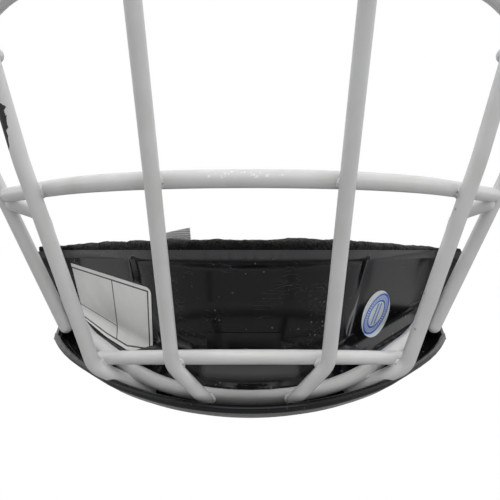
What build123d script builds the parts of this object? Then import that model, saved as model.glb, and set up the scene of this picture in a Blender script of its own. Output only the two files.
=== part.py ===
from build123d import *
from math import cos, sin, tan, radians
import os

# Ice hockey face cage: a coated wire cage with a moulded chin cup that hangs
# from the front of a helmet by two clips round its top wire.
# Millimetres, +Z up, +X to the viewer's right and the front faces -Y.
# The origin lies midway between the two clip holes, on the face that bears
# against the helmet. The left side mirrors the right side.

# Wire sizes over the coating. Light wires are the two inner uprights and
# the chin wire, and all the others are heavy wires.
light_wire_r = 1.8
heavy_wire_r = 2.0

# Clips round the top wire
clip_gap = 0.1
clip_wall = 2.1
clip_width = 13.0
clip_x = 34.0
clip_tab_top = 8.0
clip_hole_r = 2.7
hinge_y = -(heavy_wire_r + clip_gap + clip_wall)
hinge_z = -14.0
clip_outer_r = -hinge_y
clip_tab_thick = 4.0

# The frame wire: a tall arch, open at the chin
frame_end = (53.9, 53.8, -174.3)
frame_cheek = (74.0, 37.3, -122.0)
frame_temple = (86.0, 49.8, -74.0)
frame_corner = (80.0, 29.8, -30.0)
frame_top = (53.0, hinge_y, hinge_z)
frame_cheek_r = 40.0
frame_temple_r = 20.0
frame_corner_r = 25.0
frame_top_r = 20.0

# Inner uprights
inner_tip = (10.8, 23.0, -189.5)
inner_bend = (18.6, 15.3, -179.3)
inner_cheek = (22.9, -28.95, -86.0)
inner_brow = (23.6, -26.7, -44.0)
inner_top = (23.0, -7.1, -12.0)
inner_tail_r = 8.0
inner_bend_r = 40.0

# Outer uprights
outer_tip = (27.0, 36.1, -189.5)
outer_bend = (41.1, 33.5, -182.8)
outer_mouth = (54.66, 15.8, -130.64)
outer_cheek = (62.0, 6.4, -96.5)
outer_brow = (63.5, 4.55, -51.0)
outer_top = (61.0, 0.2, -18.0)
outer_tail_r = 5.0
outer_mouth_r = 60.0
outer_brow_r = 40.0

# Cross wires: each is a bow that goes over into two straight legs. front_y is
# the foremost point, bend_angle how far each half of the bow turns and leg the
# length of a leg.
brow_front_y = -27.2
brow_z = -51.0
brow_r = 70.0
brow_bend_angle = 54.0
brow_leg = 42.0
cheek_front_y = -23.55
cheek_z = -96.5
cheek_r = 68.7
cheek_bend_angle = 55.2
cheek_leg = 41.7
mouth_front_y = -4.1
mouth_z = -137.0
mouth_r = 62.0
mouth_bend_angle = 49.2
mouth_leg = 28.9
chin_front_y = 15.6
chin_z = -177.5
chin_r = 46.0
chin_bend_angle = 58.0
chin_leg = 4.7
chin_tilt_angle = -9.3

# The chin loop wire that carries the cup
loop_start = (64.4, 40.1, -141.0)
loop_side = (56.6, 46.2, -153.0)
loop_jaw = (48.3, 52.8, -174.6)
loop_chin = (20.0, 25.8, -189.4)
loop_side_r = 25.0
loop_jaw_r = 14.0
loop_chin_r = 45.0

# Short side braces between the outer upright and the frame wire
brace_front = (59.5, 12.9, -106.5)
brace_rear = (75.4, 37.8, -108.0)

# Chin cup. Its flange lies in a plane that rises to the rear. The wall stands
# flange_depth behind the flange's outer edge and leans forward as it rises.
cup_front_y = 17.3
cup_front_z = -191.9
cup_tilt_angle = 13.55
flange_r = 48.0
flange_bend_angle = 51.5
flange_leg_length = 38.4
flange_depth = 16.0
wall_thick = 1.8
wall_lean_angle = 11.7
wall_height = 46.0
wall_leg_length = 47.5
wing_turn_angle = 31.0
wing_length = 9.0
rim_z = -152.0
lip_height = 2.5
lip_thick = 0.8

# Section of the cup's foot, along the middle of the wall: from a bead the
# floor falls into a gutter, rises to a ridge and sweeps up a cove into the
# wall. In is measured from the bead's outer edge, drop and rise from the
# flange plane.
bead_r = 1.1
bead_bite = 0.2
floor_bend_r = 1.2
floor_edge_in = 3.8
floor_edge_drop = 1.4
gutter_in = 9.4
gutter_width = 2.0
gutter_drop = 4.4
ridge_in = 12.3
ridge_rise = 1.0
cove_in = 14.2
cove_rise = 3.0
cove_r = 8.0
foot_rise = 7.0
foot_r = 6.0
foot_lap = 3.0

# Saddles on the floor that hold the chin loop wire, and the oval lug over it
saddle_gap = 0.05
tail_gap = 0.15
saddle_in = 7.2
saddle_foot_drop = 3.6
front_saddle_width = 7.0
front_saddle_rise = 0.5
side_saddle_width = 5.0
side_saddle_rise = 7.2
side_saddle_turn_angle = 49.0
lug_width = 7.2
lug_height = 1.8
lug_in = 11.0
lug_rise = 1.6
lug_length = 2.0

# Foam liner inside the cup: its inner face swells by the crown
foam_gap = 0.3
foam_thick = 6.0
foam_crown = 1.0
foam_rise = 3.2
foam_foot = 3.0

# Outlines on the wall: the distance along the wall from its middle, and Z
wall_reach = 100.0

# Webbing tab sewn to the liner's inner face, with its top cut askew
tab_gap = 0.05
tab_thick = 1.2
tab_outline = [(-16.0, -146.3), (-29.3, -148.0), (-29.8, -160.0), (-15.4, -160.0)]

# Bare labels on the front of the cup
label_thick = 0.15
label_corner_r = 2.0
square_label_corners = 2
side_label = [
    (-78.7, -156.1),
    (-30.1, -162.0),
    (-31.9, -180.6),
    (-45.8, -180.9),
    (-58.9, -178.3),
    (-76.0, -173.5),
]
size_label = [(-11.3, -173.0), (8.0, -173.0), (8.0, -177.9), (-11.3, -177.9)]
size_label_corner_r = 0.5
seal_along = 44.7
seal_z = -170.9
seal_half_width = 4.1
seal_half_height = 7.0
seal_tilt_angle = -9.0

os.makedirs("parts", exist_ok=True)


def mirrored(point):
    return (-point[0], point[1], point[2])


def arch(points, radii):
    """Fillets a run of points and its mirror image, from left to right."""
    left = [mirrored(p) for p in points]
    return left + list(reversed(points)), radii + list(reversed(radii))


def wire(points, radii, wire_r):
    """A round wire with rounded ends along a filleted run of points."""
    with BuildPart() as tube:
        with BuildLine() as run:
            if radii:
                FilletPolyline(*points, radius=radii)
            else:
                Line(*points)
        with BuildSketch(Plane(origin=run.line @ 0, z_dir=run.line % 0)):
            Circle(wire_r)
        sweep(path=run.line)
        with Locations(run.line @ 0, run.line @ 1):
            Sphere(wire_r)
    return tube


def bow(front_y, z, bend_r, bend_angle, leg, wire_r, tilt_angle=0):
    """A cross wire: an arc with straight legs in a plane tilted about X."""
    tilt = radians(tilt_angle)
    plane = Plane(origin=(0, front_y, z), x_dir=(1, 0, 0), z_dir=(0, -sin(tilt), cos(tilt)))
    with BuildPart() as tube:
        with BuildLine(plane) as run:
            bend = CenterArc((0, bend_r), bend_r, -90 - bend_angle, 2 * bend_angle)
            PolarLine(bend @ 0, leg, 180 - bend_angle)
            PolarLine(bend @ 1, leg, bend_angle)
        with BuildSketch(Plane(origin=run.line @ 0, z_dir=run.line % 0)):
            Circle(wire_r)
        sweep(path=run.line)
        with Locations(run.line @ 0, run.line @ 1):
            Sphere(wire_r)
    return tube


# The frame wire
frame_points, frame_radii = arch(
    [frame_end, frame_cheek, frame_temple, frame_corner, frame_top],
    [frame_cheek_r, frame_temple_r, frame_corner_r, frame_top_r],
)
frame_wire = wire(frame_points, frame_radii, heavy_wire_r)
frame_wire.part.label = "frame_wire"
export_step(frame_wire.part, "parts/frame_wire.step")

# Uprights
inner_points = [inner_tip, inner_bend, inner_cheek, inner_brow, inner_top]
inner_radii = [inner_tail_r, inner_bend_r, inner_bend_r]
inner_upright_right = wire(inner_points, inner_radii, light_wire_r)
inner_upright_right.part.label = "inner_upright_right"
export_step(inner_upright_right.part, "parts/inner_upright_right.step")
inner_upright_left = wire([mirrored(p) for p in inner_points], inner_radii, light_wire_r)
inner_upright_left.part.label = "inner_upright_left"
export_step(inner_upright_left.part, "parts/inner_upright_left.step")

outer_points = [outer_tip, outer_bend, outer_mouth, outer_cheek, outer_brow, outer_top]
outer_radii = [outer_tail_r, outer_mouth_r, outer_mouth_r, outer_brow_r]
outer_upright_right = wire(outer_points, outer_radii, heavy_wire_r)
outer_upright_right.part.label = "outer_upright_right"
export_step(outer_upright_right.part, "parts/outer_upright_right.step")
outer_upright_left = wire([mirrored(p) for p in outer_points], outer_radii, heavy_wire_r)
outer_upright_left.part.label = "outer_upright_left"
export_step(outer_upright_left.part, "parts/outer_upright_left.step")

# Cross wires, from the brow down
brow_wire = bow(brow_front_y, brow_z, brow_r, brow_bend_angle, brow_leg, heavy_wire_r)
brow_wire.part.label = "brow_wire"
export_step(brow_wire.part, "parts/brow_wire.step")
cheek_wire = bow(cheek_front_y, cheek_z, cheek_r, cheek_bend_angle, cheek_leg, heavy_wire_r)
cheek_wire.part.label = "cheek_wire"
export_step(cheek_wire.part, "parts/cheek_wire.step")
mouth_wire = bow(mouth_front_y, mouth_z, mouth_r, mouth_bend_angle, mouth_leg, heavy_wire_r)
mouth_wire.part.label = "mouth_wire"
export_step(mouth_wire.part, "parts/mouth_wire.step")
chin_wire = bow(
    chin_front_y, chin_z, chin_r, chin_bend_angle, chin_leg, light_wire_r, chin_tilt_angle
)
chin_wire.part.label = "chin_wire"
export_step(chin_wire.part, "parts/chin_wire.step")

# Chin loop wire
loop_points, loop_radii = arch(
    [loop_start, loop_side, loop_jaw, loop_chin],
    [loop_side_r, loop_jaw_r, loop_chin_r],
)
chin_loop_wire = wire(loop_points, loop_radii, heavy_wire_r)
chin_loop_wire.part.label = "chin_loop_wire"
export_step(chin_loop_wire.part, "parts/chin_loop_wire.step")

# Side braces
side_brace_right = wire([brace_front, brace_rear], [], light_wire_r)
side_brace_right.part.label = "side_brace_right"
export_step(side_brace_right.part, "parts/side_brace_right.step")
side_brace_left = wire(
    [mirrored(brace_front), mirrored(brace_rear)], [], light_wire_r
)
side_brace_left.part.label = "side_brace_left"
export_step(side_brace_left.part, "parts/side_brace_left.step")


# Clips: a loop round the top wire that closes in a flat tab with one hole
def clip(x):
    with BuildPart() as strap_clip:
        side = Plane(origin=(x - clip_width / 2, 0, 0), x_dir=(0, 1, 0), z_dir=(1, 0, 0))
        with BuildSketch(side):
            with Locations((hinge_y, hinge_z)):
                Circle(clip_outer_r)
            with Locations((-clip_tab_thick, hinge_z)):
                Rectangle(clip_tab_thick, clip_tab_top - hinge_z, align=Align.MIN)
            with Locations((hinge_y, hinge_z)):
                Circle(heavy_wire_r + clip_gap, mode=Mode.SUBTRACT)
        extrude(amount=clip_width)
        with BuildSketch(Plane(origin=(x, 0, 0), z_dir=(0, -1, 0), x_dir=(1, 0, 0))):
            Circle(clip_hole_r)
        extrude(amount=clip_tab_thick, mode=Mode.SUBTRACT)
        tab_corners = strap_clip.edges().filter_by(Axis.Y).group_by(Axis.Z)[-1]
        fillet(tab_corners, clip_width / 2 - clip_gap)
    return strap_clip


clip_right = clip(clip_x)
clip_right.part.label = "clip_right"
export_step(clip_right.part, "parts/clip_right.step")
clip_left = clip(-clip_x)
clip_left.part.label = "clip_left"
export_step(clip_left.part, "parts/clip_left.step")

# Chin cup planes: the flange plane and the upright section plane at X = 0
tilt_cos = cos(radians(cup_tilt_angle))
tilt_sin = sin(radians(cup_tilt_angle))
lean = tan(radians(wall_lean_angle))
cup_origin = (0, cup_front_y, cup_front_z)
flange_plane = Plane(origin=cup_origin, x_dir=(1, 0, 0), z_dir=(0, -tilt_sin, tilt_cos))
section_plane = Plane(origin=cup_origin, x_dir=(0, tilt_cos, tilt_sin), z_dir=(1, 0, 0))
rim_plane = Plane(origin=(0, 0, rim_z))
front_plane = Plane(origin=(0, 0, 0), x_dir=(1, 0, 0), z_dir=(0, -1, 0))


def wall_run():
    """The ridge line of the right half, from the middle to the wing's end."""
    with BuildLine(flange_plane) as run:
        bend = CenterArc((0, flange_r), flange_r - flange_depth, -90, flange_bend_angle)
        leg = PolarLine(bend @ 1, wall_leg_length, flange_bend_angle)
        PolarLine(leg @ 1, wing_length, flange_bend_angle - wing_turn_angle)
    return run


def wall_side(offset, start, end, crown):
    """One side of the wall's section, straight or swelling to the rear."""
    first = Vector(flange_depth + offset - start * lean, start)
    last = Vector(flange_depth + offset - end * lean, end)
    if crown:
        return ThreePointArc(first, (first + last) / 2 + Vector(crown, 0), last)
    return Line(first, last)


def wall_layer(outer, inner, foot, height, outer_crown=0, inner_crown=0):
    """A leaning layer of the wall between two offsets from its outer face."""
    run = wall_run()
    with BuildPart() as layer:
        with BuildSketch(section_plane):
            with BuildLine():
                rear = wall_side(inner, foot, height, inner_crown)
                front = wall_side(outer, height, foot, outer_crown)
                Line(rear @ 1, front @ 0)
                Line(front @ 1, rear @ 0)
            make_face()
        sweep(path=run.line, transition=Transition.RIGHT)
        mirror(about=Plane.YZ)
    return layer


# Rolled lip along the top rim
with BuildPart() as rim_lip:
    add(wall_layer(-lip_thick, wall_thick, foot_rise, wall_height).part)
    split(bisect_by=rim_plane, keep=Keep.BOTTOM)
    split(bisect_by=rim_plane.offset(-lip_height), keep=Keep.TOP)

with BuildPart() as upper_wall:
    add(wall_layer(0, wall_thick, foot_rise + foot_lap / 2, wall_height).part)
    split(bisect_by=rim_plane, keep=Keep.BOTTOM)

# Corners of the cup's end in the flange plane: the bead's end, the wall's
# crease and the wing's end
bend = radians(flange_bend_angle)
wing_way = radians(flange_bend_angle - wing_turn_angle)
leg_way = Vector(cos(bend), sin(bend))
inward_way = Vector(-sin(bend), cos(bend))
ridge_r = flange_r - flange_depth
edge_end = Vector(0, flange_r) - inward_way * flange_r + leg_way * flange_leg_length
crease = Vector(0, flange_r) - inward_way * ridge_r + leg_way * wall_leg_length
wing_end = crease + Vector(cos(wing_way), sin(wing_way)) * wing_length
end_way = (wing_end - edge_end).normalized()
end_length = (wing_end - edge_end).length
wing_in = (wing_end - edge_end).dot(inward_way)
far = flange_r


def wall_in(offset, rise):
    """How far in from the bead's outer edge the wall lies at a height."""
    return flange_depth + offset - rise * lean


ridge_point = (ridge_in, ridge_rise)
cove_point = (cove_in, cove_rise)
foot_point = (wall_in(wall_thick / 2, foot_rise), foot_rise)
lap_point = (wall_in(wall_thick / 2, foot_rise + foot_lap), foot_rise + foot_lap)


def edge_run(length):
    """The flange's outer edge on the right side, from the middle."""
    with BuildLine(flange_plane) as run:
        arc = CenterArc((0, flange_r), flange_r, -90, flange_bend_angle)
        PolarLine(arc @ 1, length, flange_bend_angle)
    return run


# The cup's foot runs on past the bead's end and is cut where the wing and the
# end wall close it
with BuildPart() as foot:
    with BuildSketch(section_plane):
        with BuildLine():
            FilletPolyline(
                (bead_r, bead_r - bead_bite),
                (floor_edge_in, -floor_edge_drop),
                (gutter_in, -gutter_drop),
                (gutter_in + gutter_width, -gutter_drop),
                ridge_point,
                cove_point,
                foot_point,
                lap_point,
                radius=[floor_bend_r, floor_bend_r, floor_bend_r, floor_bend_r, cove_r, foot_r],
            )
        trace(line_width=wall_thick)
    sweep(path=edge_run(flange_leg_length + far).line)
    with BuildSketch(flange_plane):
        with BuildLine():
            Polyline(
                edge_end - inward_way * bead_r - end_way * bead_r,
                wing_end + inward_way * wall_thick / 2,
                crease + inward_way * wall_thick / 2,
                crease + inward_way * far,
                crease + inward_way * far + leg_way * 2 * far,
                edge_end - inward_way * far + leg_way * 2 * far,
                edge_end - inward_way * far,
                close=True,
            )
        make_face()
    extrude(amount=far, both=True, mode=Mode.SUBTRACT)

with BuildPart() as bead:
    with BuildSketch(section_plane):
        with Locations((bead_r, bead_r)):
            Circle(bead_r)
    sweep(path=edge_run(flange_leg_length).line)

# The wing goes down to the floor
with BuildPart() as wing_foot:
    add(wall_layer(0, wall_thick, -gutter_drop, foot_rise + foot_lap).part)
    with BuildSketch(flange_plane):
        with BuildLine():
            Polyline(
                crease - inward_way * far,
                crease + inward_way * far,
                crease + inward_way * far + leg_way * far,
                crease - inward_way * far + leg_way * far,
                close=True,
            )
        make_face()
    extrude(amount=far, both=True, mode=Mode.INTERSECT)

# End wall from the bead to the wing, with the bead carried on along its top
end_origin = flange_plane.from_local_coords(edge_end + inward_way * bead_r)
end_x = flange_plane.from_local_coords(end_way) - flange_plane.origin
end_plane = Plane(origin=end_origin, x_dir=end_x, z_dir=end_x.cross(flange_plane.z_dir))
end_slope = end_length / wing_in
bead_end = end_plane.from_local_coords((0, bead_r, 0))
with BuildPart() as end_wall:
    with BuildSketch(end_plane):
        with BuildLine():
            Polyline(
                (0, bead_r),
                (end_length, bead_r),
                (end_length, -gutter_drop - wall_thick / 2),
                (gutter_in * end_slope, -gutter_drop - wall_thick / 2),
                (floor_edge_in * end_slope, -floor_edge_drop - wall_thick / 2),
                (0, -bead_bite),
                close=True,
            )
        make_face()
    extrude(amount=wall_thick / 2, both=True)
    with BuildSketch(Plane(origin=bead_end, z_dir=end_x)):
        Circle(bead_r)
    extrude(amount=end_length)
    with Locations(bead_end):
        Sphere(bead_r)

# The loop wire's seat, swept with a hair of room
with BuildPart() as loop_seat:
    with BuildLine() as seat_run:
        FilletPolyline(*loop_points, radius=loop_radii)
    with BuildSketch(Plane(origin=seat_run.line @ 0, z_dir=seat_run.line % 0)):
        Circle(heavy_wire_r + saddle_gap)
    sweep(path=seat_run.line)


# Room for the uprights' tails where they cross the bead and the gutter
with BuildPart() as tail_room:
    add(wire(inner_points, inner_radii, light_wire_r + tail_gap).part)
    add(wire(outer_points, outer_radii, heavy_wire_r + tail_gap).part)


def saddle(turn_angle, width, rise, back):
    """A block on the floor, open to the front, turned about the bow."""
    turn = radians(turn_angle)
    edge = (flange_r * sin(turn), flange_r - flange_r * cos(turn), 0)
    centre = flange_plane.from_local_coords(edge)
    inward = flange_plane.from_local_coords((0, flange_r, 0)) - centre
    side = Plane(origin=centre, x_dir=inward, z_dir=inward.cross(flange_plane.z_dir))
    with BuildPart() as block:
        with BuildSketch(side):
            with BuildLine():
                Polyline(
                    (saddle_in, rise),
                    (saddle_in, -saddle_foot_drop),
                    (gutter_in + gutter_width, -gutter_drop),
                    *back,
                    close=True,
                )
            make_face()
        extrude(amount=width / 2, both=True)
    return block


side_back = [ridge_point, cove_point, foot_point, (foot_point[0], side_saddle_rise)]

with BuildPart() as lug:
    lug_origin = flange_plane.from_local_coords((0, lug_in, lug_rise))
    lug_way = section_plane.x_dir
    with BuildSketch(Plane(origin=lug_origin, x_dir=(1, 0, 0), z_dir=lug_way)):
        SlotOverall(lug_width, lug_height)
    extrude(amount=lug_length)

# The foot leaves the liner's place free behind the crease
foam_face = wall_thick + foam_gap + foam_thick
with BuildPart() as liner_room:
    room_front = wall_thick + foam_gap / 2
    add(wall_layer(room_front, foam_face, foam_foot - foam_gap, wall_height).part)

with BuildPart() as cup_half:
    add(foot.part)
    add(liner_room.part, mode=Mode.SUBTRACT)
    add(bead.part)
    add(end_wall.part)
    mirror(about=Plane.YZ)

with BuildPart() as cup_shell:
    add(cup_half.part)
    add(wing_foot.part)
    add(upper_wall.part)
    add(rim_lip.part)
    add(lug.part)
    add(saddle(0, front_saddle_width, front_saddle_rise, [(ridge_in, front_saddle_rise)]).part)
    add(saddle(side_saddle_turn_angle, side_saddle_width, side_saddle_rise, side_back).part)
    add(saddle(-side_saddle_turn_angle, side_saddle_width, side_saddle_rise, side_back).part)
    add(loop_seat.part, mode=Mode.SUBTRACT)
    add(tail_room.part, mode=Mode.SUBTRACT)
    add(mirror(tail_room.part, about=Plane.YZ, mode=Mode.PRIVATE), mode=Mode.SUBTRACT)
cup_shell.part.label = "chin_cup_shell"
export_step(cup_shell.part, "parts/chin_cup_shell.step")

# Foam liner: it follows the wall and stands above the rim
with BuildPart() as foam_liner:
    foam_back = wall_thick + foam_gap
    add(wall_layer(foam_back, foam_face, foam_foot, wall_height, 0, foam_crown).part)
    split(bisect_by=rim_plane.offset(foam_rise), keep=Keep.BOTTOM)
foam_liner.part.label = "foam_liner"
export_step(foam_liner.part, "parts/foam_liner.step")


ridge = wall_run().wire()


def wall_x(along):
    """The X of a point a given distance along the wall from its middle."""
    x = ridge.position_at(abs(along), PositionMode.LENGTH).X
    return x if along > 0 else -x


def wall_patch(outline, corner_r, layer, square_corners=0):
    """The part of a layer of the wall inside an outline seen from ahead."""
    corners = [(wall_x(along), z) for along, z in outline]
    with BuildPart() as patch:
        with BuildSketch(front_plane):
            with BuildLine():
                Polyline(*corners, close=True)
            face = make_face()
            if corner_r:
                fillet(face.vertices().sort_by(Axis.X)[square_corners:], corner_r)
        extrude(amount=-wall_reach)
        add(layer, mode=Mode.INTERSECT)
    return patch


# Webbing tab behind the liner
tab_face = foam_face + tab_gap
tab_layer = wall_layer(
    tab_face, tab_face + tab_thick, foam_foot, wall_height, foam_crown, foam_crown
).part
strap_tab = wall_patch(tab_outline, 0, tab_layer)
strap_tab.part.label = "strap_tab"
export_step(strap_tab.part, "parts/strap_tab.step")

# Labels
with BuildPart() as film:
    with BuildSketch(section_plane):
        wall_top = (wall_in(wall_thick / 2, wall_height), wall_height)
        with BuildLine():
            FilletPolyline(ridge_point, cove_point, foot_point, wall_top, radius=[cove_r, foot_r])
        trace(line_width=wall_thick + 2 * label_thick)
        with BuildLine():
            FilletPolyline(ridge_point, cove_point, foot_point, wall_top, radius=[cove_r, foot_r])
        trace(line_width=wall_thick, mode=Mode.SUBTRACT)
        with BuildLine():
            Polyline(
                ridge_point, cove_point, foot_point, wall_top, (far, wall_height), (far, 0), close=True
            )
        make_face(mode=Mode.SUBTRACT)
    sweep(path=edge_run(flange_leg_length + far).line)
    mirror(about=Plane.YZ)
side_sticker = wall_patch(side_label, label_corner_r, film.part, square_label_corners)
side_sticker.part.label = "side_label"
export_step(side_sticker.part, "parts/side_label.step")
size_sticker = wall_patch(size_label, size_label_corner_r, film.part)
size_sticker.part.label = "size_label"
export_step(size_sticker.part, "parts/size_label.step")
seal_x = wall_x(seal_along)
with BuildPart() as seal_sticker:
    with BuildSketch(front_plane):
        with Locations((seal_x, seal_z)):
            Ellipse(seal_half_width, seal_half_height, rotation=seal_tilt_angle)
    extrude(amount=-wall_reach)
    add(film.part, mode=Mode.INTERSECT)
seal_sticker.part.label = "round_seal"
export_step(seal_sticker.part, "parts/round_seal.step")
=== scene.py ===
import math
import random

import bmesh
import bpy
from mathutils import Matrix, Vector, noise


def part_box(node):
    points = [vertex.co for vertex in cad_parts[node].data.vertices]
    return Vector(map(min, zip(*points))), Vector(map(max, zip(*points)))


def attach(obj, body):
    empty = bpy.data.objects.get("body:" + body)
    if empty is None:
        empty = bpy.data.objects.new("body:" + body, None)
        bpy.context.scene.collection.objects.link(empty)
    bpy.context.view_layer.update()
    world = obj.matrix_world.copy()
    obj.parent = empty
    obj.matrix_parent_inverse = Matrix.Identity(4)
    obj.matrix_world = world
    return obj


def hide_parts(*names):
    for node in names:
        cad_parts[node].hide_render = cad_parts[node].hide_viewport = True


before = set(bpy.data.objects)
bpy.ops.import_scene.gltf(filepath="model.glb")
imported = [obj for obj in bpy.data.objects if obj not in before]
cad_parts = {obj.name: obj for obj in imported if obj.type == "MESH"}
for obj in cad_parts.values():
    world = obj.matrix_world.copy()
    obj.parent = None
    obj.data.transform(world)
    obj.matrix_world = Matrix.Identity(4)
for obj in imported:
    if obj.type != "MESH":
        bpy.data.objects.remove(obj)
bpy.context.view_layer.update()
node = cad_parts

# Places and sizes are in metres. Those in millimetres say so, and MM turns them.
MM = 0.001


# Camera: level, close in front of the chin cup

CAMERA_PLACE = (0.0, -0.1512, -0.152)
CAMERA_LENS = 50.4
CAMERA_SENSOR = 36.0

cam_data = bpy.data.cameras.new("camera")
cam_data.lens = CAMERA_LENS
cam_data.sensor_width = CAMERA_SENSOR
camera = bpy.data.objects.new("camera", cam_data)
camera.location = CAMERA_PLACE
camera.rotation_euler = (math.radians(90), 0.0, 0.0)
bpy.context.scene.collection.objects.link(camera)
bpy.context.scene.camera = camera
bpy.context.scene.view_settings.view_transform = "Standard"


# Node helpers

FLOAT, VECTOR = "NodeSocketFloat", "NodeSocketVector"
NOISE_LOW, NOISE_HIGH = 0.3, 0.7  # the range that a noise mostly fills


def add(tree, kind, inputs=None, **props):
    """A node with its settings, and its inputs set to numbers or linked to sockets."""
    n = tree.nodes.new(kind)
    for key, value in props.items():
        setattr(n, key, value)
    for key, value in (inputs or {}).items():
        if isinstance(value, bpy.types.NodeSocket):
            tree.links.new(value, n.inputs[key])
        else:
            n.inputs[key].default_value = value
    return n


def maths(tree, operation, a, b=0.0):
    return add(tree, "ShaderNodeMath", {0: a, 1: b}, operation=operation).outputs[0]


def times(tree, first, *others):
    """The product of two or more values."""
    out = first
    for other in others:
        out = maths(tree, "MULTIPLY", out, other)
    return out


def vector_maths(tree, operation, a, b=None):
    inputs = {0: a} if b is None else {0: a, 1: b}
    return add(tree, "ShaderNodeVectorMath", inputs, operation=operation).outputs


def split(tree, vector):
    """The X, Y and Z of a vector."""
    return add(tree, "ShaderNodeSeparateXYZ", {"Vector": vector}).outputs


def noise_at(tree, vector, scale, detail=2.0, rough=0.5):
    inputs = {"Vector": vector, "Scale": scale, "Detail": detail, "Roughness": rough}
    return add(tree, "ShaderNodeTexNoise", inputs).outputs["Fac"]


def ramp(tree, value, low, high, a=0.0, b=1.0):
    """A value turned from the range low to high into the range a to b."""
    inputs = {"Value": value, "From Min": low, "From Max": high, "To Min": a, "To Max": b}
    return add(tree, "ShaderNodeMapRange", inputs).outputs["Result"]


def spread(tree, value, a=0.0, b=1.0):
    """A noise turned into the range a to b."""
    return ramp(tree, value, NOISE_LOW, NOISE_HIGH, a, b)


def mix(tree, fac, a, b):
    """Colour a with colour b laid over it by a mask or a share."""
    n = add(tree, "ShaderNodeMix", data_type="RGBA")
    for socket, value in ((n.inputs[0], fac), (n.inputs[6], a), (n.inputs[7], b)):
        if isinstance(value, bpy.types.NodeSocket):
            tree.links.new(value, socket)
        elif isinstance(value, tuple):
            socket.default_value = value + (1.0,)
        else:
            socket.default_value = value
    return n.outputs[2]


def largest(tree, masks):
    """One mask out of several."""
    out = masks[0]
    for m in masks[1:]:
        out = maths(tree, "MAXIMUM", out, m)
    return out


def band(tree, value, low, high):
    """A mask of where a value lies between two limits."""
    over = maths(tree, "GREATER_THAN", value, low)
    under = maths(tree, "LESS_THAN", value, high)
    return times(tree, over, under)


def group(name, inputs, outputs):
    """An empty shader group with its sockets, and its two end nodes."""
    tree = bpy.data.node_groups.new(name, "ShaderNodeTree")
    for label, kind, value in inputs:
        s = tree.interface.new_socket(name=label, in_out="INPUT", socket_type=kind)
        if value is not None:
            s.default_value = value
    for label, kind in outputs:
        tree.interface.new_socket(name=label, in_out="OUTPUT", socket_type=kind)
    return tree, tree.nodes.new("NodeGroupInput"), tree.nodes.new("NodeGroupOutput")


def use(tree, which, **inputs):
    """A shared effect in a material, with its inputs set or linked."""
    n = tree.nodes.new("ShaderNodeGroup")
    n.node_tree = which
    for key, value in inputs.items():
        if isinstance(value, bpy.types.NodeSocket):
            tree.links.new(value, n.inputs[key])
        else:
            n.inputs[key].default_value = value
    return n.outputs


def material(name):
    """A material with its tree, its shader and the object's own coordinates."""
    m = bpy.data.materials.new(name)
    m.use_nodes = True
    t = m.node_tree
    shader = t.nodes["Principled BSDF"]
    where = t.nodes.new("ShaderNodeTexCoord").outputs["Object"]
    return m, t, shader, where


def bump(tree, shader, height, strength, distance):
    inputs = {"Height": height, "Strength": strength, "Distance": distance}
    n = add(tree, "ShaderNodeBump", inputs)
    tree.links.new(n.outputs[0], shader.inputs["Normal"])


# Shared effects

def make_specks():
    """Scattered small specks: grains of dust or dirt, and the white flecks of a painted
    highlight.
    """
    t, i, o = group(
        "specks",
        [("Vector", VECTOR, None), ("Scale", FLOAT, 400.0), ("Size", FLOAT, 0.2),
         ("Share", FLOAT, 0.3)],
        [("Mask", FLOAT)],
    )
    inputs = {"Vector": i.outputs["Vector"], "Scale": i.outputs["Scale"]}
    cells = add(t, "ShaderNodeTexVoronoi", inputs)
    chance = add(t, "ShaderNodeSeparateColor", {"Color": cells.outputs["Color"]})
    size = times(t, chance.outputs[1], i.outputs["Size"])
    near = maths(t, "LESS_THAN", cells.outputs["Distance"], size)
    chosen = maths(t, "LESS_THAN", chance.outputs[0], i.outputs["Share"])
    t.links.new(times(t, near, chosen), o.inputs["Mask"])
    return t


def make_scratches():
    """Fine hairline scratches that run one way and fade in and out."""
    t, i, o = group(
        "scratches",
        [("Vector", VECTOR, None), ("Stretch", VECTOR, (60.0, 900.0, 900.0)),
         ("Turn", VECTOR, (0.0, 0.0, 0.0)), ("Share", FLOAT, 0.02)],
        [("Mask", FLOAT)],
    )
    inputs = {"Vector": i.outputs["Vector"], "Rotation": i.outputs["Turn"],
              "Scale": i.outputs["Stretch"]}
    place = add(t, "ShaderNodeMapping", inputs).outputs[0]
    lines = noise_at(t, place, scale=1.0, detail=1.0)
    off = maths(t, "ABSOLUTE", maths(t, "SUBTRACT", lines, 0.5))
    thin = maths(t, "LESS_THAN", off, i.outputs["Share"])
    broad = noise_at(t, i.outputs["Vector"], scale=90.0, detail=3.0)
    patch = ramp(t, broad, low=0.52, high=0.62)
    t.links.new(times(t, thin, patch), o.inputs["Mask"])
    return t


def make_spot():
    """A ragged spot round a place, such as a chip. Squash under 1 draws it out."""
    t, i, o = group(
        "spot",
        [("Vector", VECTOR, None), ("Centre", VECTOR, (0.0, 0.0, 0.0)),
         ("Squash", VECTOR, (1.0, 1.0, 1.0)), ("Radius", FLOAT, 0.002), ("Ragged", FLOAT, 0.5)],
        [("Mask", FLOAT)],
    )
    away = vector_maths(t, "SUBTRACT", i.outputs["Vector"], i.outputs["Centre"])[0]
    flat = vector_maths(t, "MULTIPLY", away, i.outputs["Squash"])[0]
    far = vector_maths(t, "LENGTH", flat)["Value"]
    noisy = noise_at(t, i.outputs["Vector"], scale=700.0, detail=3.0)
    wobble = maths(t, "SUBTRACT", noisy, 0.5)
    edge = times(t, wobble, times(t, i.outputs["Ragged"], i.outputs["Radius"]))
    reach = maths(t, "ADD", i.outputs["Radius"], times(t, edge, 2.0))
    t.links.new(maths(t, "LESS_THAN", far, reach), o.inputs["Mask"])
    return t


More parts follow.
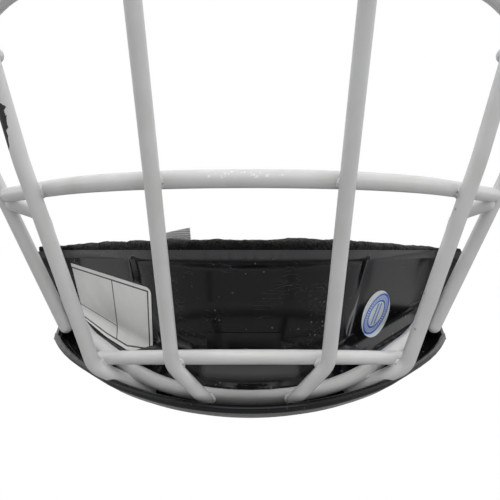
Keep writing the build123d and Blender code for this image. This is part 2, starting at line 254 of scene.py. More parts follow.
def make_skin():
    """The faint orange peel of a dipped or moulded surface."""
    t, i, o = group(
        "skin",
        [("Vector", VECTOR, None), ("Scale", FLOAT, 500.0)],
        [("Height", FLOAT), ("Tone", FLOAT)],
    )
    fine = noise_at(t, i.outputs["Vector"], i.outputs["Scale"])
    broad = noise_at(t, i.outputs["Vector"], times(t, i.outputs["Scale"], 0.18))
    t.links.new(maths(t, "ADD", times(t, fine, 0.4), broad), o.inputs["Height"])
    t.links.new(broad, o.inputs["Tone"])
    return t


def make_weave():
    """A plain weave of two sets of threads."""
    t, i, o = group(
        "weave",
        [("Vector", VECTOR, None), ("Pitch", FLOAT, 0.0006)],
        [("Height", FLOAT)],
    )
    turn = maths(t, "DIVIDE", 2.0 * math.pi, i.outputs["Pitch"])
    parts = split(t, i.outputs["Vector"])
    across = maths(t, "SINE", times(t, parts["X"], turn))
    along = maths(t, "SINE", times(t, parts["Z"], turn))
    t.links.new(maths(t, "ABSOLUTE", times(t, across, along)), o.inputs["Height"])
    return t


SPECKS = make_specks()
SCRATCHES = make_scratches()
SPOT = make_spot()
SKIN = make_skin()
WEAVE = make_weave()


# Coated wire: its paints, its chips, a painted highlight of white flecks on top of the
# mouth wire, and painted shade on the ends of the tails and the loop wire low in the cup

COATING_DULL, COATING_CLEAN = (0.575, 0.570, 0.560), (0.615, 0.615, 0.615)
GRIME = (0.42, 0.40, 0.37)
WIRE_DIRT = (0.12, 0.10, 0.09)
GLINT_WHITE = (0.85, 0.85, 0.85)
# Painted shade for the wires low in the cup's middle
LOW_SHADE = (0.085, 0.083, 0.081)
CHIPPED = (0.022, 0.021, 0.022)
CHIPS = [
    {"Centre": (-0.0583, 0.0119, -0.1225), "Squash": (1.0, 0.8, 0.26), "Radius": 0.0019,
     "Ragged": 0.5},
    {"Centre": (-0.0577, 0.0133, -0.1262), "Squash": (1.1, 0.8, 0.36), "Radius": 0.0013,
     "Ragged": 0.5},
    {"Centre": (0.0015, 0.0236, -0.1925), "Squash": (0.6, 1.0, 1.0), "Radius": 0.0011,
     "Ragged": 0.8},
]
# Painted highlight: a strip of white flecks along the top of the mouth wire
GLINT_STRIP = {"Centre": (-0.0029, -0.0062, -0.1364), "Squash": (0.07, 0.5, 1.0),
              "Radius": 0.0008, "Ragged": 0.8}
# Painted shade: the wires darken below these heights and inside these widths, low in the cup's
# middle
LOW_SHADE_FROM, LOW_SHADE_BELOW = -0.1872, -0.1892
LOW_SHADE_OUTSIDE, LOW_SHADE_INSIDE = 0.030, 0.012


def make_wire():
    m, t, shader, where = material("coated_wire")
    skin = use(t, SKIN, Vector=where, Scale=620.0)
    colour = mix(t, spread(t, skin["Tone"]), COATING_DULL, COATING_CLEAN)
    grime = ramp(t, noise_at(t, where, scale=75.0, detail=4.0), low=0.62, high=0.8, b=0.3)
    colour = mix(t, grime, colour, GRIME)
    dirt = use(t, SPECKS, Vector=where, Scale=520.0, Size=0.24, Share=0.035)["Mask"]
    colour = mix(t, times(t, dirt, 0.5), colour, WIRE_DIRT)
    # Painted highlight: white flecks along the top of the mouth wire
    glint_spot = use(t, SPOT, Vector=where, **GLINT_STRIP)["Mask"]
    glint_flecks = use(t, SPECKS, Vector=where, Scale=1500.0, Size=0.62, Share=0.45)["Mask"]
    colour = mix(t, times(t, glint_spot, glint_flecks, 0.6), colour, GLINT_WHITE)
    parts = split(t, where)
    # Painted shade on the wires low in the middle of the cup
    low = ramp(t, parts["Z"], LOW_SHADE_FROM, LOW_SHADE_BELOW)
    middle = ramp(t, maths(t, "ABSOLUTE", parts["X"]), LOW_SHADE_OUTSIDE, LOW_SHADE_INSIDE)
    colour = mix(t, times(t, low, middle, 0.80), colour, LOW_SHADE)
    chips = largest(t, [use(t, SPOT, Vector=where, **chip)["Mask"] for chip in CHIPS])
    colour = mix(t, chips, colour, CHIPPED)
    t.links.new(colour, shader.inputs["Base Color"])
    rough = spread(t, noise_at(t, where, scale=260.0, detail=3.0), 0.30, 0.44)
    rough = maths(t, "ADD", rough, times(t, chips, 0.15))
    t.links.new(rough, shader.inputs["Roughness"])
    shader.inputs["Coat Weight"].default_value = 0.15
    shader.inputs["Coat Roughness"].default_value = 0.2
    height = maths(t, "SUBTRACT", skin["Height"], times(t, chips, 1.5))
    bump(t, shader, height, strength=0.35, distance=0.00022)
    return m


# Weld beads under the same coating, dirtier than the wires

WELD_DULL, WELD_CLEAN = (0.55, 0.545, 0.535), (0.61, 0.61, 0.61)
WELD_DIRT = (0.07, 0.06, 0.05)


def make_weld():
    m, t, shader, where = material("weld_coating")
    skin = use(t, SKIN, Vector=where, Scale=1500.0)
    colour = mix(t, spread(t, skin["Tone"]), WELD_DULL, WELD_CLEAN)
    dirt = use(t, SPECKS, Vector=where, Scale=1300.0, Size=0.55, Share=0.22)["Mask"]
    colour = mix(t, times(t, dirt, 0.8), colour, WELD_DIRT)
    t.links.new(colour, shader.inputs["Base Color"])
    t.links.new(spread(t, skin["Tone"], 0.25, 0.42), shader.inputs["Roughness"])
    bump(t, shader, skin["Height"], strength=0.5, distance=0.0002)
    return m


# Cup plastic: glossy black under dust and hairlines, with a painted highlight along the
# lip of its wall and a painted grey reflection in the cove's middle, which is rougher there

CUP_BLACK, CUP_GREY = (0.0040, 0.0042, 0.0050), (0.0070, 0.0074, 0.0085)
CUP_DUST = (0.42, 0.40, 0.37)
CUP_HAIRLINE = (0.30, 0.30, 0.30)
# Painted highlight along the lip of the wall
LIP_HIGHLIGHT = (0.064, 0.065, 0.068)
LIP_FROM, LIP_FULL, LIP_FADES, LIP_TOP = -0.1552, -0.1540, -0.1520, -0.1516
# Painted reflection: a grey patch in the cove's middle
COVE_REFLECTION = (0.090, 0.091, 0.093)
COVE_FROM, COVE_FULL, COVE_FADES, COVE_TOP = -0.1860, -0.1838, -0.1822, -0.1795
COVE_OUTSIDE, COVE_INSIDE = 0.0135, 0.0115


def make_cup():
    m, t, shader, where = material("cup_plastic")
    skin = use(t, SKIN, Vector=where, Scale=110.0)
    dust = use(t, SPECKS, Vector=where, Scale=900.0, Size=0.30, Share=0.16)["Mask"]
    lint = use(t, SPECKS, Vector=where, Scale=380.0, Size=0.16, Share=0.12)["Mask"]
    marks = use(t, SCRATCHES, Vector=where, Turn=(0.0, 0.35, 0.2), Share=0.012)["Mask"]
    patch = ramp(t, noise_at(t, where, scale=60.0, detail=4.0), low=0.45, high=0.7, a=0.1)
    film = times(t, largest(t, [dust, lint]), patch)
    colour = mix(t, spread(t, skin["Tone"]), CUP_BLACK, CUP_GREY)
    colour = mix(t, times(t, film, 0.55), colour, CUP_DUST)
    colour = mix(t, times(t, marks, 0.12), colour, CUP_HAIRLINE)
    parts = split(t, where)
    height = parts["Z"]
    # Painted highlight: a pale band along the lip of the wall
    lip_highlight = times(t, ramp(t, height, LIP_FROM, LIP_FULL), ramp(t, height, LIP_TOP, LIP_FADES))
    colour = mix(t, times(t, lip_highlight, 0.9), colour, LIP_HIGHLIGHT)
    # Painted reflection in the cove's middle, which is also made rougher
    cove = times(t, ramp(t, height, COVE_FROM, COVE_FULL), ramp(t, height, COVE_TOP, COVE_FADES))
    middle = ramp(t, maths(t, "ABSOLUTE", parts["X"]), COVE_OUTSIDE, COVE_INSIDE)
    cove_reflection = times(t, cove, middle)
    colour = mix(t, times(t, cove_reflection, 0.9), colour, COVE_REFLECTION)
    t.links.new(colour, shader.inputs["Base Color"])
    shader.inputs["Specular IOR Level"].default_value = 0.36
    rough = spread(t, noise_at(t, where, scale=45.0, detail=3.0), 0.13, 0.25)
    rough = maths(t, "ADD", rough, times(t, cove_reflection, 0.25))
    rough = maths(t, "ADD", rough, times(t, film, 0.5))
    t.links.new(rough, shader.inputs["Roughness"])
    bump(t, shader, skin["Height"], strength=0.10, distance=0.0006)
    return m


# Foam, woven tape and the clips' nylon

FOAM_BLACK, FOAM_TORN = (0.006, 0.006, 0.006), (0.030, 0.029, 0.027)
FOAM_FLUFF = (0.30, 0.28, 0.26)
TAPE_SOILED, TAPE_CLEAN = (0.84, 0.83, 0.82), (0.90, 0.90, 0.90)
# Painted shade in the grooves between the tape's threads
TAPE_GROOVE_SHADE = (0.50, 0.49, 0.48)
TAPE_PITCH = 0.0011
NYLON_BLACK, NYLON_GREY = (0.016, 0.016, 0.017), (0.024, 0.024, 0.025)
NYLON_HAIRLINE = (0.16, 0.16, 0.16)


def make_foam():
    m, t, shader, where = material("foam")
    cells = add(t, "ShaderNodeTexVoronoi", {"Vector": where, "Scale": 1500.0})
    torn = noise_at(t, where, scale=420.0, detail=5.0, rough=0.7)
    colour = mix(t, ramp(t, torn, low=0.35, high=0.7), FOAM_BLACK, FOAM_TORN)
    fluff = use(t, SPECKS, Vector=where, Scale=520.0, Size=0.22, Share=0.10)["Mask"]
    colour = mix(t, times(t, fluff, 0.6), colour, FOAM_FLUFF)
    t.links.new(colour, shader.inputs["Base Color"])
    shader.inputs["Roughness"].default_value = 0.9
    shader.inputs["Specular IOR Level"].default_value = 0.15
    shader.inputs["Sheen Weight"].default_value = 0.08
    height = maths(t, "ADD", cells.outputs["Distance"], torn)
    bump(t, shader, height, strength=0.9, distance=0.0005)
    return m


def make_tape():
    m, t, shader, where = material("webbing")
    weave = use(t, WEAVE, Vector=where, Pitch=TAPE_PITCH)["Height"]
    clean = ramp(t, noise_at(t, where, scale=240.0, detail=4.0), low=0.35, high=0.7)
    colour = mix(t, clean, TAPE_SOILED, TAPE_CLEAN)
    # Painted shade in the grooves between the threads
    groove_shade = ramp(t, weave, low=0.0, high=0.35, a=0.15, b=0.0)
    colour = mix(t, groove_shade, colour, TAPE_GROOVE_SHADE)
    t.links.new(colour, shader.inputs["Base Color"])
    shader.inputs["Roughness"].default_value = 0.85
    shader.inputs["Sheen Weight"].default_value = 0.25
    bump(t, shader, weave, strength=0.8, distance=0.0003)
    return m


def make_nylon():
    m, t, shader, where = material("clip_plastic")
    skin = use(t, SKIN, Vector=where, Scale=900.0)
    colour = mix(t, spread(t, skin["Tone"]), NYLON_BLACK, NYLON_GREY)
    marks = use(t, SCRATCHES, Vector=where, Turn=(0.3, 0.9, 0.0), Share=0.02)["Mask"]
    colour = mix(t, times(t, marks, 0.2), colour, NYLON_HAIRLINE)
    t.links.new(colour, shader.inputs["Base Color"])
    t.links.new(spread(t, skin["Tone"], 0.38, 0.52), shader.inputs["Roughness"])
    bump(t, shader, skin["Height"], strength=0.4, distance=0.0002)
    return m


# Side label: white film with a border, a divider and a rule, left bare. Its
# corners are X and Z, seen from ahead. The rule falls by RULE_SLOPE.

LABEL = [(-0.0580, -0.1561), (-0.0560, -0.1735), (-0.0442, -0.1783), (-0.0358, -0.1809),
         (-0.0270, -0.1806), (-0.0259, -0.1620)]
BORDER_IN, BORDER_END = 0.0009, 0.0013
DIVIDER_X, DIVIDER_HALF = -0.0397, 0.00017
RULE_SLOPE, RULE_LOW, RULE_HIGH = 0.34, -0.18826, -0.18804
FILM_AGED, FILM_WHITE = (0.86, 0.86, 0.83), (0.92, 0.92, 0.90)
LABEL_INK = (0.015, 0.015, 0.016)


def edge_distance(t, where, corners):
    """How far inside an outline, seen from ahead, a point lies."""
    inside = None
    for k, (ax, az) in enumerate(corners):
        bx, bz = corners[(k + 1) % len(corners)]
        run = math.hypot(bx - ax, bz - az)
        way = ((az - bz) / run, 0.0, (bx - ax) / run)
        dot = vector_maths(t, "DOT_PRODUCT", where, way)["Value"]
        far = maths(t, "SUBTRACT", dot, way[0] * ax + way[2] * az)
        inside = far if inside is None else maths(t, "MINIMUM", inside, far)
    return inside


def make_side_label():
    m, t, shader, where = material("side_label_film")
    inset = edge_distance(t, where, LABEL)
    parts = split(t, where)
    x, z = parts["X"], parts["Z"]
    border = band(t, inset, BORDER_IN, BORDER_END)
    divider = band(t, maths(t, "SUBTRACT", x, DIVIDER_X), -DIVIDER_HALF, DIVIDER_HALF)
    rule_at = maths(t, "ADD", times(t, x, RULE_SLOPE), z)
    left = maths(t, "LESS_THAN", x, DIVIDER_X)
    rule = times(t, band(t, rule_at, RULE_LOW, RULE_HIGH), left)
    printed = maths(t, "GREATER_THAN", inset, BORDER_IN)
    ink = times(t, largest(t, [border, divider, rule]), printed)
    aged = spread(t, noise_at(t, where, scale=160.0, detail=3.0))
    paper = mix(t, aged, FILM_AGED, FILM_WHITE)
    t.links.new(mix(t, ink, paper, LABEL_INK), shader.inputs["Base Color"])
    rough = spread(t, noise_at(t, where, scale=300.0), 0.35, 0.5)
    t.links.new(rough, shader.inputs["Roughness"])
    bump(t, shader, noise_at(t, where, scale=260.0), strength=0.15, distance=0.0001)
    return m


# Round seal: plain rings, a ring of ticks and two bars. Sizes of the marks
# are shares of the seal's half width and half height.

SEAL_HALF_WIDE, SEAL_HALF_TALL, SEAL_LEAN = 0.0082, 0.0071, 0.30
OUTER_RING, INNER_RING, TICK_RING = (0.755, 0.845), (0.51, 0.59), (0.61, 0.74)
TICK_COUNT, TICK_GAP = 44.0, -0.1
BARS, BAR_END = (0.06, 0.17), 0.45
SEAL_DULL, SEAL_WHITE = (0.74, 0.77, 0.79), (0.80, 0.83, 0.85)
SEAL_INK = (0.005, 0.13, 0.62)


def make_seal(centre, way):
    """White film with blue rings, read along the wall and up it."""
    m, t, shader, where = material("round_seal_film")
    away = vector_maths(t, "SUBTRACT", where, centre)[0]
    along = vector_maths(t, "DOT_PRODUCT", away, tuple(way))["Value"]
    up = split(t, away)["Z"]
    upright = maths(t, "SUBTRACT", along, times(t, up, SEAL_LEAN))
    across = maths(t, "DIVIDE", upright, SEAL_HALF_WIDE)
    rise = maths(t, "DIVIDE", up, SEAL_HALF_TALL)
    square = maths(t, "ADD", times(t, across, across), times(t, rise, rise))
    far = maths(t, "SQRT", square)
    turn = maths(t, "ARCTAN2", rise, across)
    ticks = maths(t, "GREATER_THAN", maths(t, "SINE", times(t, turn, TICK_COUNT)), TICK_GAP)
    tick_ring = times(t, band(t, far, *TICK_RING), ticks, 0.9)
    rings = largest(t, [band(t, far, *OUTER_RING), band(t, far, *INNER_RING)])
    sideways = maths(t, "ABSOLUTE", across)
    bars = times(t, band(t, sideways, *BARS), band(t, far, 0.0, BAR_END))
    ink = largest(t, [rings, tick_ring, times(t, bars, 0.8)])
    aged = spread(t, noise_at(t, where, scale=400.0, detail=3.0))
    paper = mix(t, aged, SEAL_DULL, SEAL_WHITE)
    t.links.new(mix(t, ink, paper, SEAL_INK), shader.inputs["Base Color"])
    rough = spread(t, noise_at(t, where, scale=300.0), 0.3, 0.45)
    t.links.new(rough, shader.inputs["Roughness"])
    bump(t, shader, noise_at(t, where, scale=260.0), strength=0.12, distance=0.0001)
    return m


# Size label: bare black film

BLACK_FILM, BLACK_FILM_WORN = (0.0045, 0.0045, 0.0050), (0.0075, 0.0075, 0.0080)
LABEL_DUST = (0.35, 0.33, 0.3)


def make_size_label():
    m, t, shader, where = material("size_label_film")
    skin = use(t, SKIN, Vector=where, Scale=400.0)
    colour = mix(t, spread(t, skin["Tone"]), BLACK_FILM, BLACK_FILM_WORN)
    dust = use(t, SPECKS, Vector=where, Scale=900.0, Size=0.28, Share=0.08)["Mask"]
    t.links.new(mix(t, times(t, dust, 0.4), colour, LABEL_DUST), shader.inputs["Base Color"])
    t.links.new(spread(t, skin["Tone"], 0.2, 0.3), shader.inputs["Roughness"])
    bump(t, shader, skin["Height"], strength=0.1, distance=0.0002)
    return m


# Finishes of the CAD's own nodes. Those that aren't named are wires, or are
# replaced below.

wire_mat = make_wire()
weld_mat = make_weld()
cup_mat = make_cup()
foam_mat = make_foam()
tape_mat = make_tape()
nylon_mat = make_nylon()

FINISH = {
    "chin_cup_shell": cup_mat,
    "strap_tab": tape_mat,
    "clip_left": nylon_mat,
    "clip_right": nylon_mat,
    "side_label": make_side_label(),
    "size_label": make_size_label(),
}
for name, piece in node.items():
    finish = FINISH.get(name, wire_mat)
    for slot in piece.material_slots:
        slot.material = finish


# Mesh helpers

SAME_PLACE = 0.00001  # points nearer than this are one


def pick(obj):
    bpy.ops.object.select_all(action="DESELECT")
    obj.select_set(True)
    bpy.context.view_layer.objects.active = obj


def join(first, others):
    """Objects joined into the first one, which stays picked."""
    pick(first)
    for obj in others:
        obj.select_set(True)
    bpy.ops.object.join()


def apply_all(obj):
    pick(obj)
    for mod in list(obj.modifiers):
        bpy.ops.object.modifier_apply(modifier=mod.name)


def shade(obj, smooth):
    for p in obj.data.polygons:
        p.use_smooth = smooth


def finish_with(obj, finish):
    obj.data.materials.clear()
    obj.data.materials.append(finish)


def merged_copy(name, new_name):
    """A copy of a CAD node with its doubled points merged, to work on freely."""
    mesh = node[name].data.copy()
    obj = bpy.data.objects.new(new_name, mesh)
    bpy.context.scene.collection.objects.link(obj)
    pick(obj)
    bpy.ops.object.mode_set(mode="EDIT")
    bpy.ops.mesh.select_all(action="SELECT")
    bpy.ops.mesh.remove_doubles(threshold=SAME_PLACE)
    bpy.ops.object.mode_set(mode="OBJECT")
    return obj


def smooth_step(value):
    value = max(0.0, min(1.0, value))
    return value * value * (3.0 - 2.0 * value)


def tube(name, places, radius):
    """A round tube along a run of places, as a mesh."""
    line = bpy.data.curves.new(name, "CURVE")
    line.dimensions = "3D"
    spline = line.splines.new("POLY")
    spline.points.add(len(places) - 1)
    for point, place in zip(spline.points, places):
        point.co = (place[0], place[1], place[2], 1.0)
    line.bevel_depth = radius
    line.bevel_resolution = 7
    line.use_fill_caps = True
    obj = bpy.data.objects.new(name, line)
    bpy.context.scene.collection.objects.link(obj)
    pick(obj)
    bpy.ops.object.convert(target="MESH")
    return bpy.context.active_object


# The cup's own directions. Its flange lies in a plane that rises to the rear:
# depth runs back in it and rise stands on it. The flange's edge is an arc
# round the chin and then a straight leg on each side.

CUP_FRONT, CUP_LOW, CUP_TILT = 0.0173, -0.1919, math.radians(13.55)
BEND_R, BEND = 0.048, math.radians(51.5)
BEND_LENGTH = BEND_R * BEND


def to_cup(co):
    """X, depth and rise of a point."""
    y, z = co[1] - CUP_FRONT, co[2] - CUP_LOW
    depth = y * math.cos(CUP_TILT) + z * math.sin(CUP_TILT)
    return co[0], depth, z * math.cos(CUP_TILT) - y * math.sin(CUP_TILT)


def from_cup(x, depth, rise):
    """The point at an X, a depth and a rise."""
    return Vector((x, CUP_FRONT + depth * math.cos(CUP_TILT) - rise * math.sin(CUP_TILT),
                   CUP_LOW + depth * math.sin(CUP_TILT) + rise * math.cos(CUP_TILT)))


def leg_way(side):
    """The way back along a leg."""
    return from_cup(side * math.cos(BEND), math.sin(BEND), 0.0) - from_cup(0.0, 0.0, 0.0)


def edge_place(x, depth):
    """How far along the flange's edge a point is, how far in, and the way out."""
    side = 1.0 if x >= 0.0 else -1.0
    x, back = abs(x), depth - BEND_R
    turn = math.atan2(x, -back)
    if 0.0 <= turn < BEND and back < 0.0:
        far = math.hypot(x, back)
        return BEND_R * turn, BEND_R - far, (side * x / far, back / far)
    along = x * math.cos(BEND) + back * math.sin(BEND)
    out = x * math.sin(BEND) - back * math.cos(BEND)
    return BEND_LENGTH + along, BEND_R - out, (side * math.sin(BEND), -math.cos(BEND))


def edge_point(along):
    """X and depth of a point on the right half of the edge, and the way out."""
    if along < BEND_LENGTH:
        turn = along / BEND_R
        out = (math.sin(turn), -math.cos(turn))
        return BEND_R * math.sin(turn), BEND_R * (1.0 - math.cos(turn)), out
    reach = along - BEND_LENGTH
    x = BEND_R * math.sin(BEND) + reach * math.cos(BEND)
    depth = BEND_R * (1.0 - math.cos(BEND)) + reach * math.sin(BEND)
    return x, depth, (math.sin(BEND), -math.cos(BEND))


# The flange bulges at the sides and its tips draw in: millimetres along the
# edge and millimetres out. The bulge fades towards the wall.
BULGE = [(28.0, 0.0), (34.0, 0.35), (42.0, 1.05), (50.0, 1.45), (58.0, 1.75), (64.0, 1.65),
         (69.0, 1.2), (74.0, 0.4), (78.0, -0.5), (81.6, -1.5)]
BULGE_FULL, BULGE_FADE = 3.0, 9.0
FLANGE_TOP = 0.006

# The wings' upper ends lean out, from a distance along the edge and a rise,
# in millimetres.
FLARE = 4.5
FLARE_ALONG, FLARE_ALONG_RUN = 89.0, 8.0
FLARE_RISE, FLARE_RISE_RUN = 12.0, 16.0


def bulge_at(along):
    """The flange's bulge at a distance along its edge, in metres."""
    along /= MM
    if along <= BULGE[0][0]:
        return 0.0
    for (a, low), (b, high) in zip(BULGE, BULGE[1:]):
        if along <= b:
            return (low + (high - low) * (along - a) / (b - a)) * MM
    return BULGE[-1][1] * MM


def flare_at(along, rise):
    """How far the wings' upper ends lean out, in metres."""
    back = smooth_step((along / MM - FLARE_ALONG) / FLARE_ALONG_RUN)
    up = smooth_step((rise / MM - FLARE_RISE) / FLARE_RISE_RUN)
    return FLARE * MM * back * up


# Chin cup: cut across its legs so that they can bend, then bulged, with one
# bead all along its edge

CUT_COUNT, CUT_STEP = 17, 0.0024
BEAD_R, BEAD_STEPS, BEAD_STEP = 0.0011, 68, 0.0012
SHARP_EDGE = math.radians(32.0)


def make_cup_bead():
    """A tube just inside the bulged edge, from tip to tip."""
    edge = []
    for step in range(-BEAD_STEPS, BEAD_STEPS + 1):
        along = abs(step) * BEAD_STEP
        side = 1.0 if step >= 0 else -1.0
        x, depth, out = edge_point(along)
        shift = bulge_at(along) - BEAD_R
        edge.append(from_cup(side * (x + out[0] * shift), depth + out[1] * shift, BEAD_R))
    return tube("cup_bead", edge, BEAD_R)


def make_chin_cup():
    cup = merged_copy("chin_cup_shell", "chin_cup")
    work = bmesh.new()
    work.from_mesh(cup.data)
    for side in (1.0, -1.0):
        for step in range(CUT_COUNT):
            x, depth, _ = edge_point(BEND_LENGTH + step * CUT_STEP)
            parts = list(work.verts) + list(work.edges) + list(work.faces)
            bmesh.ops.bisect_plane(work, geom=parts, dist=SAME_PLACE,
                                   plane_co=from_cup(side * x, depth, 0.0),
                                   plane_no=leg_way(side))
    for v in work.verts:
        x, depth, rise = to_cup(v.co)
        along, inward, out = edge_place(x, depth)
        weight = 1.0 - smooth_step((inward / MM - BULGE_FULL) / BULGE_FADE)
        shift = flare_at(along, rise)
        if weight > 0.0 and rise < FLANGE_TOP:
            shift += bulge_at(along) * weight
        if shift != 0.0:
            v.co = from_cup(x + out[0] * shift, depth + out[1] * shift, rise)
    work.to_mesh(cup.data)
    work.free()
    join(cup, [make_cup_bead()])
    bpy.ops.object.shade_smooth_by_angle(angle=SHARP_EDGE)
    finish_with(cup, cup_mat)
    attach(cup, "cage")
    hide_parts("chin_cup_shell")


make_chin_cup()


# Round seal: longer along the wall and further back on it

SEAL_BACK, SEAL_LONGER = 0.0024, 0.24


def make_seal_film():
    seal = merged_copy("round_seal", "seal_film")
    way = leg_way(1.0)
    low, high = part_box("round_seal")
    middle = Vector(tuple((a + b) / 2 for a, b in zip(low, high)))
    for v in seal.data.vertices:
        v.co += way * (SEAL_BACK + SEAL_LONGER * (v.co - middle).dot(way))
    shade(seal, False)
    finish_with(seal, make_seal(tuple(middle + way * SEAL_BACK), way))
    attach(seal, "cage")
    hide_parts("round_seal")


make_seal_film()


# Chin loop wire: its ends turn in sharply from the frame wire. The right
# half's points and the radii of its corners are in millimetres.

LOOP_R = 0.002
LOOP_RIGHT = [(64.9, 40.3, -139.4), (57.4, 42.0, -142.0), (55.2, 46.2, -153.4),
              (50.5, 54.0, -175.0), (20.0, 25.8, -189.4)]
LOOP_RADII = [5.0, 30.0, 12.0, 45.0]
CORNER_STEPS = 8


def rounded_run(points, radii):
    """A run of points with its corners rounded."""
    places = [Vector(points[0]) * MM]
    for before, corner, after, r in zip(points, points[1:], points[2:], radii):
        before, corner, after = Vector(before) * MM, Vector(corner) * MM, Vector(after) * MM
        a, b = (before - corner).normalized(), (after - corner).normalized()
        half = a.angle(b) / 2.0
        reach = r * MM / math.tan(half)
        centre = corner + (a + b).normalized() * (r * MM / math.sin(half))
        first = (corner + a * reach - centre).normalized()
        last = (corner + b * reach - centre).normalized()
        for step in range(CORNER_STEPS + 1):
            way = first.slerp(last, step / CORNER_STEPS).normalized()
            places.append(centre + way * (r * MM))
    places.append(Vector(points[-1]) * MM)
    return places


def make_loop_wire():
    points = [(-x, y, z) for x, y, z in LOOP_RIGHT] + list(reversed(LOOP_RIGHT))
    places = rounded_run(points, LOOP_RADII + list(reversed(LOOP_RADII)))
    loop = tube("loop_wire", places, LOOP_R)
    ends = []
    for place in (places[0], places[-1]):
        bpy.ops.mesh.primitive_uv_sphere_add(segments=24, ring_count=12, radius=LOOP_R,
                                             location=place)
        ends.append(bpy.context.active_object)
    join(loop, ends)
    shade(loop, True)
    finish_with(loop, wire_mat)
    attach(loop, "cage")
    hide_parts("chin_loop_wire")


make_loop_wire()


# Foam liner: remeshed, with soft corners and a rough-cut top edge that sags
# towards the ends, a little more on the right

FOAM_VOXEL = 0.0009
FOAM_TOP, CUT_DEEP, CUT_FADE = -0.1488, 0.0045, 0.003
SAG_LEFT, SAG_RIGHT, SAG_SPAN = 0.0007, 0.0016, 0.055
CUT_LOWER, CUT_BROAD, CUT_FINE = 0.0005, 0.00055, 0.00045
RIPPLE = 0.00022
BROAD_SCALE, FINE_SCALE, RIPPLE_SCALE = 140.0, 700.0, 90.0


def make_foam_liner():
    foam = merged_copy("foam_liner", "foam_pad")
    remesh = foam.modifiers.new("voxels", "REMESH")
    remesh.mode = "VOXEL"
    remesh.voxel_size = FOAM_VOXEL
    soften = foam.modifiers.new("soften", "SMOOTH")
    soften.factor = 0.5
    soften.iterations = 5
    apply_all(foam)
    for v in foam.data.vertices:
        x, depth, rise = to_cup(v.co)
        along, _, out = edge_place(x, depth)
        shift = flare_at(along, rise)
        v.co = from_cup(x + out[0] * shift, depth + out[1] * shift, rise)
        x, y, z = v.co
        near_top = max(0.0, min(1.0, (z - (FOAM_TOP - CUT_DEEP)) / CUT_FADE))
        broad = noise.noise(Vector((x, y, z)) * BROAD_SCALE)
        fine = noise.noise(Vector((x, y, z)) * FINE_SCALE)
        sag = (SAG_RIGHT if x > 0.0 else SAG_LEFT) * min(1.0, abs(x) / SAG_SPAN) ** 2
        v.co.z -= near_top * (CUT_LOWER + sag + CUT_BROAD * broad + CUT_FINE * fine)
        ripple = RIPPLE * noise.noise(Vector((x, y, z)) * RIPPLE_SCALE)
        v.co += v.normal * (ripple + RIPPLE * near_top * fine)
    shade(foam, True)
    finish_with(foam, foam_mat)
    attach(foam, "cage")
    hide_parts("foam_liner")


make_foam_liner()


# Weld beads under the coating. Each is at a point between two wires and lies
# along the way from one to the other: the right side's, in millimetres.

WELDS = [
    ((23.0, -5.9, -13.0), (0.0, -0.86, 0.51)), ((59.9, 1.4, -17.7), (0.68, -0.71, -0.2)),
    ((81.9, 36.9, -50.2), (-0.38, -0.81, -0.45)), ((80.1, 41.8, -97.0), (0.0, -0.97, 0.25)),
    ((66.9, 40.5, -137.0), (-0.66, -0.75, 0.0)), ((76.2, 39.0, -108.6), (-0.5, -0.79, 0.37)),
    ((22.9, -25.2, -50.8), (-0.3, 0.95, -0.1)), ((21.9, -21.7, -97.3), (-0.25, 0.86, 0.44)),
    ((20.0, -2.5, -137.8), (-0.27, 0.85, 0.45)), ((17.3, 17.4, -179.3), (-0.25, 0.7, 0.67)),
    ((10.4, 24.7, -189.2), (-0.21, 0.96, 0.16)), ((61.8, 5.6, -51.0), (-0.81, 0.58, 0.0)),
    ((59.9, 8.1, -96.8), (-0.82, 0.55, 0.17)), ((51.2, 19.7, -137.7), (-0.7, 0.6, 0.39)),
    ((38.4, 34.7, -182.1), (-0.32, 0.4, 0.86)), ((30.4, 35.4, -185.7), (-0.4, 0.04, 0.92)),
    ((59.6, 11.3, -106.9), (0.0, 0.97, 0.26)),
]
WELD_SEED = 7

# Least and most of a bead's half width and half depth, in millimetres, and
# of its turn. Its surface swells in metres.
WELD_WIDE, WELD_DEEP = (1.7, 2.05), (1.05, 1.3)
WELD_SPIN = (0.0, 6.28)
SWELL, SWELL_SCALE = 0.00032, 520.0
GRAIN, GRAIN_SCALE = 0.00008, 1700.0


def both_sides():
    """The place and the way of every weld, right and left."""
    for place, way in WELDS:
        for side in (1.0, -1.0):
            yield (Vector((side * place[0], place[1], place[2])) * MM,
                   Vector((side * way[0], way[1], way[2])).normalized())


def make_weld_beads():
    rng = random.Random(WELD_SEED)
    bpy.ops.object.select_all(action="DESELECT")
    bpy.ops.mesh.primitive_ico_sphere_add(subdivisions=4, radius=1.0)
    ball = bpy.context.active_object
    made = []
    for place, way in both_sides():
        mesh = ball.data.copy()
        wide = rng.uniform(*WELD_WIDE) * MM
        long = rng.uniform(*WELD_WIDE) * MM
        deep = rng.uniform(*WELD_DEEP) * MM
        turn = way.to_track_quat("Z", "Y").to_matrix().to_4x4()
        spin = Matrix.Rotation(rng.uniform(*WELD_SPIN), 4, "Z")
        size = Matrix.Diagonal((wide, long, deep, 1.0))
        mesh.transform(Matrix.Translation(place) @ turn @ spin @ size)
        for v in mesh.vertices:
            swell = noise.noise(v.co * SWELL_SCALE) * SWELL
            swell += noise.noise(v.co * GRAIN_SCALE) * GRAIN
            v.co += (v.co - place).normalized() * swell
        obj = bpy.data.objects.new("weld_bead", mesh)
        bpy.context.scene.collection.objects.link(obj)
        made.append(obj)
    bpy.data.objects.remove(ball)
    beads = made[0]
    join(beads, made[1:])
    beads.name = "weld_beads"
    shade(beads, True)
    finish_with(beads, weld_mat)
    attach(beads, "cage")


make_weld_beads()


# Floor, lights and world. Both the floor and the world are white to the
# camera, and light the object as a grey floor in a soft room.

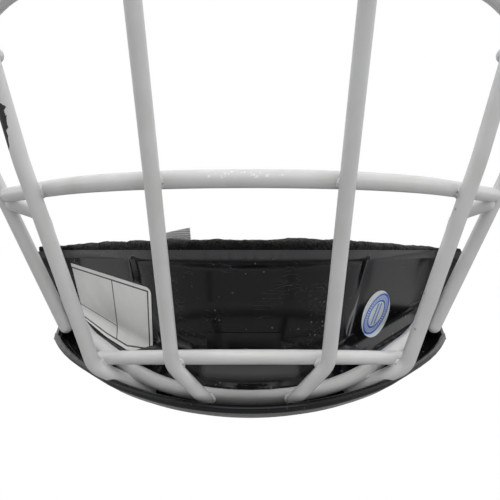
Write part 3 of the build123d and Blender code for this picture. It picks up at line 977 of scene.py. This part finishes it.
WHITE = (1.0, 1.0, 1.0, 1.0)
FLOOR_SIZE, FLOOR_LOW = 6.0, -0.235
FLOOR_DARK, FLOOR_PALE = (0.27, 0.27, 0.27), (0.31, 0.31, 0.31)
ROOM_COLOUR = (0.98, 0.99, 1.0, 1.0)
ROOM_BASE, ROOM_ABOVE, ROOM_BEHIND, ROOM_BESIDE = 0.08, 0.50, 0.50, 0.62


def make_floor():
    bpy.ops.object.select_all(action="DESELECT")
    bpy.ops.mesh.primitive_plane_add(size=FLOOR_SIZE, location=(0.0, 0.0, FLOOR_LOW))
    floor = bpy.context.active_object
    floor.name = "floor"
    m, t, shader, where = material("floor_paper")
    grain = noise_at(t, where, scale=30.0, detail=3.0)
    t.links.new(mix(t, grain, FLOOR_DARK, FLOOR_PALE), shader.inputs["Base Color"])
    shader.inputs["Roughness"].default_value = 0.9
    glow = add(t, "ShaderNodeEmission", {"Color": WHITE, "Strength": 1.0})
    seen = t.nodes.new("ShaderNodeLightPath")
    inputs = {0: seen.outputs["Is Camera Ray"], 1: shader.outputs[0], 2: glow.outputs[0]}
    choose = add(t, "ShaderNodeMixShader", inputs)
    t.links.new(choose.outputs[0], t.nodes["Material Output"].inputs["Surface"])
    floor.data.materials.append(m)


def make_world():
    """A soft room: dark where the camera stands, pale above, beside and behind."""
    world = bpy.data.worlds.new("world")
    bpy.context.scene.world = world
    world.use_nodes = True
    t = world.node_tree
    t.nodes.clear()
    parts = split(t, t.nodes.new("ShaderNodeTexCoord").outputs["Generated"])
    above = ramp(t, parts["Z"], low=0.0, high=0.9, b=ROOM_ABOVE)
    behind = ramp(t, parts["Y"], low=-0.45, high=0.5, b=ROOM_BEHIND)
    beside = ramp(t, maths(t, "ABSOLUTE", parts["X"]), low=0.45, high=0.95, b=ROOM_BESIDE)
    level = maths(t, "ADD", maths(t, "ADD", above, behind), maths(t, "ADD", beside, ROOM_BASE))
    seen = t.nodes.new("ShaderNodeLightPath")
    room = add(t, "ShaderNodeBackground", {"Color": ROOM_COLOUR, "Strength": level})
    white = add(t, "ShaderNodeBackground", {"Color": WHITE, "Strength": 1.0})
    inputs = {0: seen.outputs["Is Camera Ray"], 1: room.outputs[0], 2: white.outputs[0]}
    choose = add(t, "ShaderNodeMixShader", inputs)
    out = t.nodes.new("ShaderNodeOutputWorld")
    t.links.new(choose.outputs[0], out.inputs["Surface"])


def softbox(name, place, aim, wide, tall, power, mirrored):
    """A soft lamp. One that isn't mirrored lights the object and leaves no glare."""
    data = bpy.data.lights.new(name, "AREA")
    data.shape = "RECTANGLE"
    data.size = wide
    data.size_y = tall
    data.energy = power
    lamp = bpy.data.objects.new(name, data)
    lamp.location = place
    lamp.rotation_euler = (Vector(aim) - Vector(place)).to_track_quat("-Z", "Y").to_euler()
    lamp.visible_glossy = mirrored
    bpy.context.scene.collection.objects.link(lamp)


make_floor()
make_world()
softbox("top_light", place=(0.0, -0.3, 0.9), aim=(0.0, 0.0, -0.1), wide=1.4, tall=0.9,
        power=10.5, mirrored=False)
softbox("front_light", place=(0.1, -1.0, 0.75), aim=(0.0, 0.0, -0.12), wide=1.2, tall=0.7,
        power=3.0, mirrored=True)
softbox("fill_light", place=(0.3, -1.1, 0.0), aim=(0.0, 0.0, -0.15), wide=1.2, tall=0.8,
        power=3.5, mirrored=False)
softbox("right_light", place=(1.1, -0.3, 0.1), aim=(0.06, 0.0, -0.12), wide=0.6, tall=0.8,
        power=1.2, mirrored=False)
